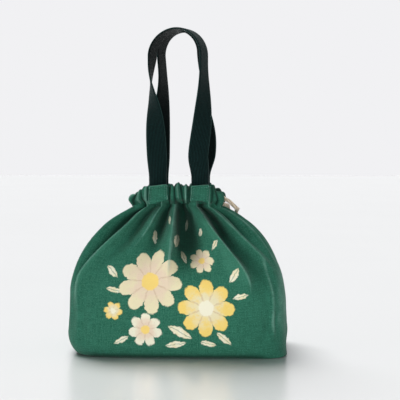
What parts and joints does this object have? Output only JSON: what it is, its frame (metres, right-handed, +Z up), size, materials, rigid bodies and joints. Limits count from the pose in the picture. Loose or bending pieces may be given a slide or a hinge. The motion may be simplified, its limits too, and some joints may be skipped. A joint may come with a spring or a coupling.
{
  "type": "bento bag",
  "caption": "Soft canvas lunch bag with a flat base, pleated shoulders, a gathered drawstring neck and webbing carry handles that fold down to either side.",
  "frame": {"origin": "on the ground under the middle of the bag's base", "axes": "+Z up, +X to the bag's right side where the drawstring comes out, -Y out of the printed front"},
  "size_m": [0.216, 0.133, 0.3189],
  "materials": {
    "canvas": "matt green cotton canvas with a slubby weave and a print on the front",
    "lining": "plain natural cotton",
    "board": "stiff plain sheet",
    "webbing": "ribbed dark cotton webbing",
    "cord": "twisted cream cotton cord"
  },
  "bodies": {
    "bag": {"front_panel": "canvas", "rear_panel": "canvas", "base_panel": "canvas", "base_board": "board", "base_lining": "lining", "front_lining": "lining", "rear_lining": "lining", "front_casing": "canvas", "rear_casing": "canvas", "front_left_tab": "canvas", "front_right_tab": "canvas", "rear_left_tab": "canvas", "rear_right_tab": "canvas", "front_left_webbing_end": "webbing", "front_right_webbing_end": "webbing", "rear_left_webbing_end": "webbing", "rear_right_webbing_end": "webbing", "drawstring_loop": "cord"},
    "front_loop": {"front_handle": "webbing"},
    "rear_loop": {"rear_handle": "webbing"},
    "drawstring": {"front_tail": "cord", "rear_tail": "cord", "drawstring_knot": "cord", "front_cord_end": "cord", "rear_cord_end": "cord"}
  },
  "joints": [
    {"name": "front_handle_swing", "type": "hinge", "parent": "bag", "child": "front_loop", "pos_m": [0.002, -0.0147, 0.1703], "axis": [1, 0, 0], "range_deg": [0, 110]},
    {"name": "rear_handle_swing", "type": "hinge", "parent": "bag", "child": "rear_loop", "pos_m": [0.002, 0.0147, 0.1703], "axis": [1, 0, 0], "range_deg": [-110, 0]},
    {"name": "drawstring_pull", "type": "slide", "parent": "bag", "child": "drawstring", "axis": [1, 0, 0], "range_m": [0, 0.03]}
  ]
}
